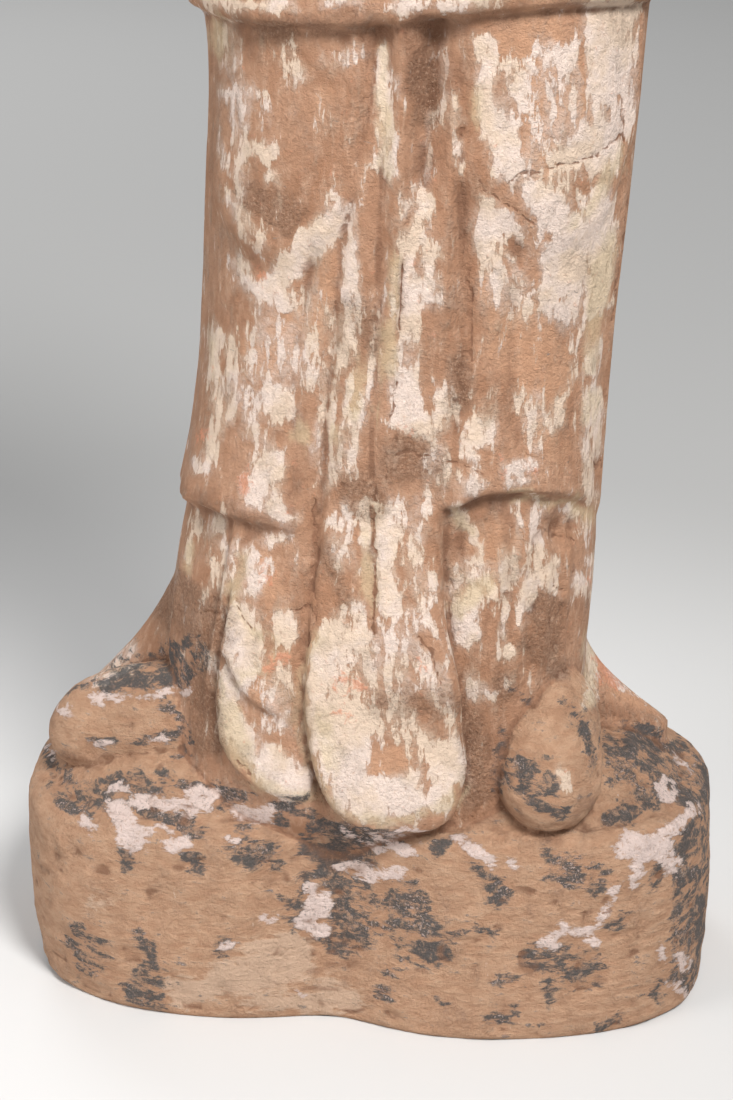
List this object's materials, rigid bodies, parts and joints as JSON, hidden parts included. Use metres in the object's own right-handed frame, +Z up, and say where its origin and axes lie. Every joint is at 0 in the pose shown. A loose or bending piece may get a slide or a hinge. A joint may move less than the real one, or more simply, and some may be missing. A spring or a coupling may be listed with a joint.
{
  "type": "terracotta warrior figure",
  "caption": "Standing robed tomb warrior of painted terracotta on a low rounded base, hands clasped, with a close helmet.",
  "frame": {"origin": "middle of the figure's bounding box, on the floor", "axes": "+Z up, -Y the way the figure faces, +X to the viewer's right"},
  "size_m": [0.3324, 0.2306, 0.981],
  "materials": {
    "terracotta": "unglazed pinkish-tan terracotta with worn white slip, and remains of black and pink paint on the base and shoes"
  },
  "bodies": {
    "root": {"warrior_figure": "terracotta"}
  },
  "joints": []
}
